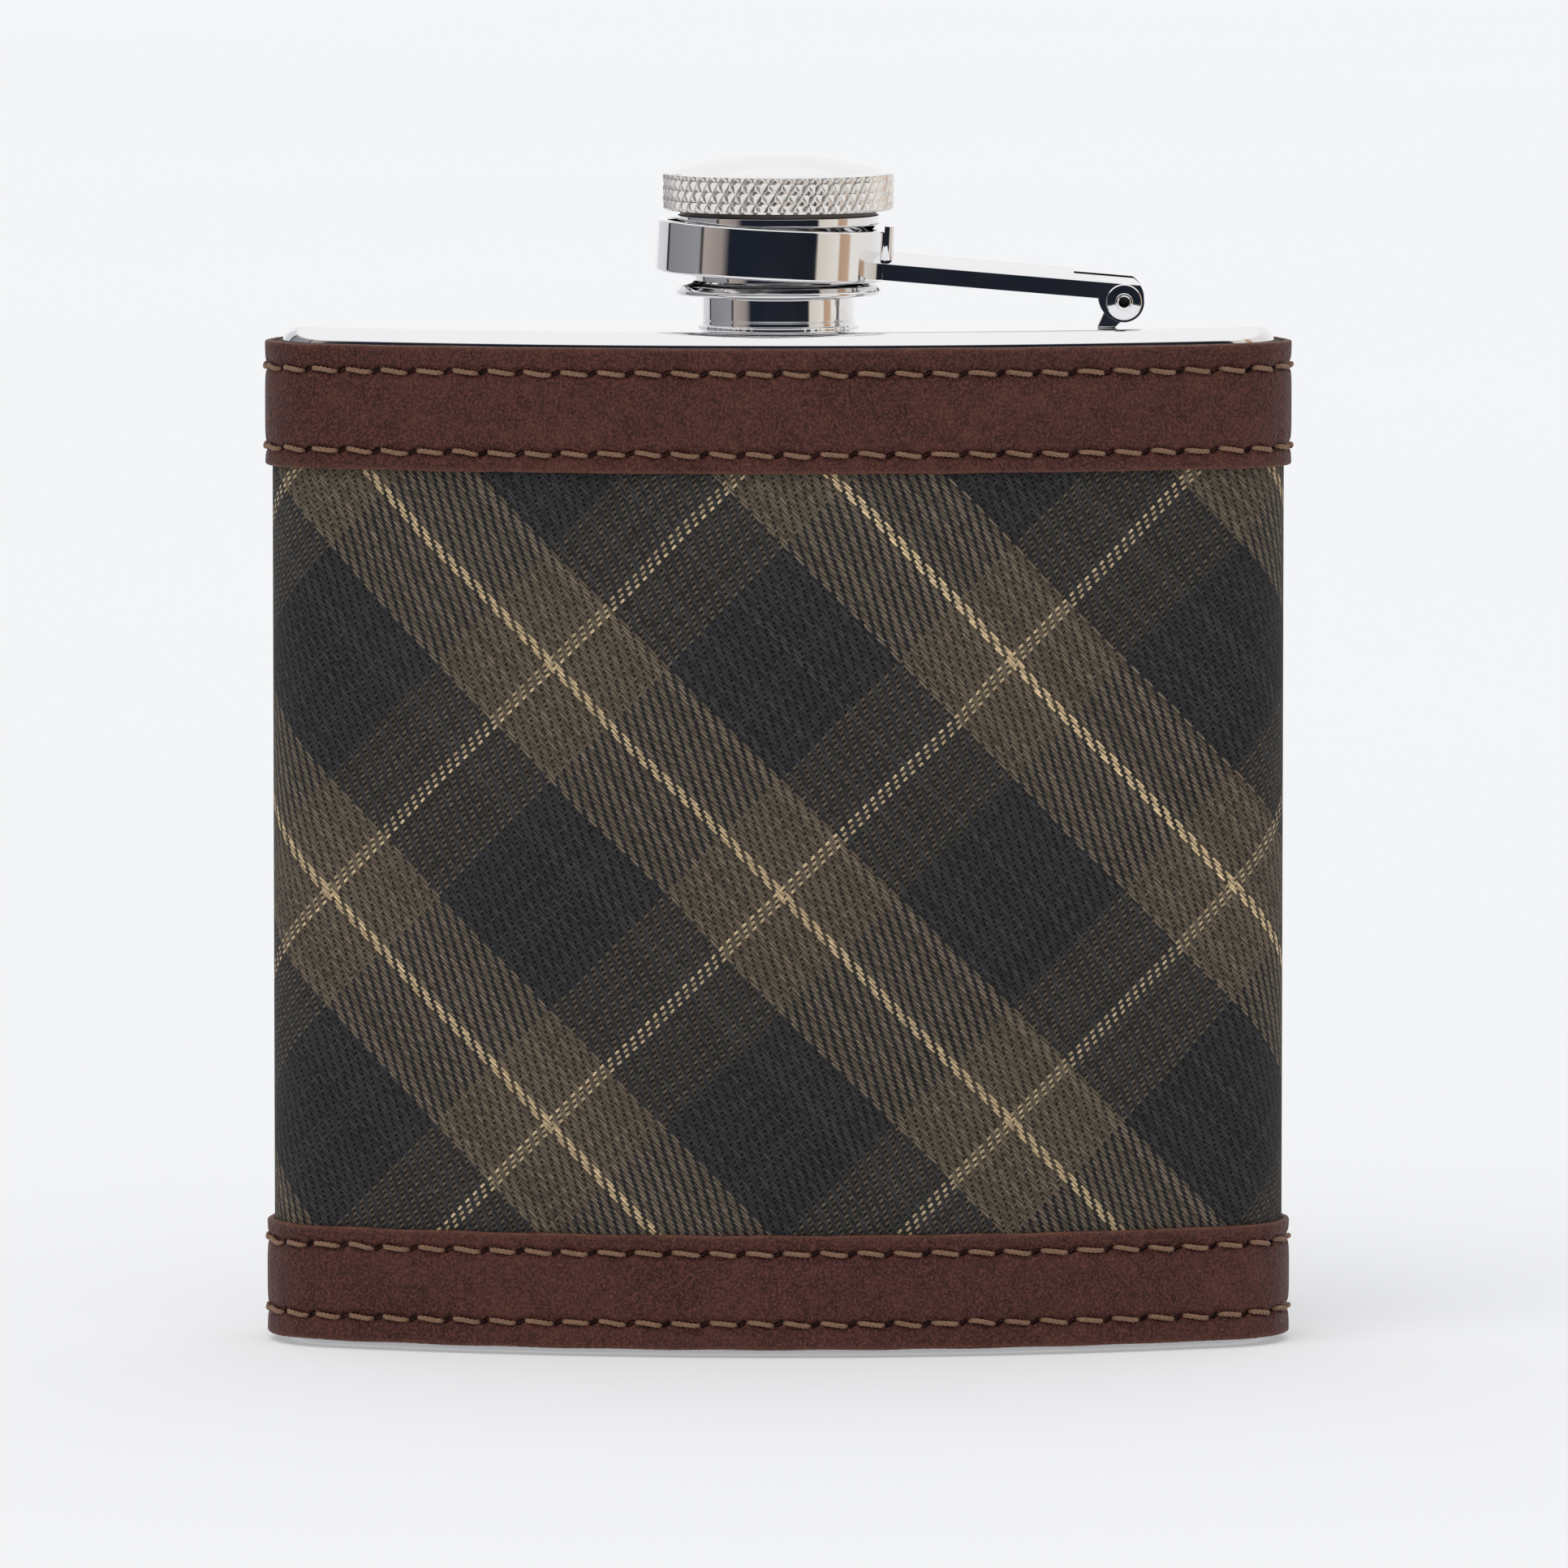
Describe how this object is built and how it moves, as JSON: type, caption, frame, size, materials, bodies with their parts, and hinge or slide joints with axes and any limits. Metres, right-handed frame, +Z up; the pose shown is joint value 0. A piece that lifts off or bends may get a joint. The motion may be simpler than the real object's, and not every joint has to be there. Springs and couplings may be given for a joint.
{
  "type": "hip flask",
  "caption": "Curved steel hip flask with a hinged captive screw cap, dressed in a checked cloth sleeve between two stitched leather bands.",
  "frame": {"origin": "centre of the bounding box's bottom face, on the plane the base stands on", "axes": "+Z up through the mouth, +X towards the cap's hinge, -Y out of the bowed front"},
  "size_m": [0.0956, 0.0259, 0.1103],
  "materials": {
    "polished_steel": "mirror polished stainless steel",
    "knurled_steel": "polished dome over a diamond-knurled grip",
    "body_steel": "satin stainless steel",
    "seal_silicone": "matt silicone",
    "lining": "bonded fibre lining",
    "checked_cloth": "twill woven cotton, plain block check in taupe and charcoal with one fine tan line, cut on the bias",
    "brown_leather": "waxed brown leather with a fine grain",
    "sewing_thread": "twisted tan sewing thread"
  },
  "bodies": {
    "flask": {"body_shell": "body_steel", "top_plate": "polished_steel", "bottom_plate": "body_steel", "neck_tube": "polished_steel", "neck_weld": "polished_steel", "hinge_post": "polished_steel", "hinge_pin": "polished_steel", "wrap_lining": "lining", "fabric_wrap": "checked_cloth", "leather_band_top": "brown_leather", "leather_band_bottom": "brown_leather", "stitches_top_upper": "sewing_thread", "stitches_top_lower": "sewing_thread", "stitches_bottom_upper": "sewing_thread", "stitches_bottom_lower": "sewing_thread"},
    "arm": {"cap_arm": "polished_steel", "cap_ring": "polished_steel"},
    "cap": {"cap_head": "knurled_steel", "cap_sleeve": "polished_steel", "cap_seal": "seal_silicone"}
  },
  "joints": [
    {"name": "arm_swing", "type": "hinge", "parent": "flask", "child": "arm", "pos_m": [0.0318, -0.00038, 0.0967], "axis": [0, 1, 0], "range_deg": [0, 171]},
    {"name": "cap_turn", "type": "hinge", "parent": "arm", "child": "cap", "pos_m": [0, -0.00038, 0.1051], "axis": [0, 0, 1], "continuous": true}
  ]
}
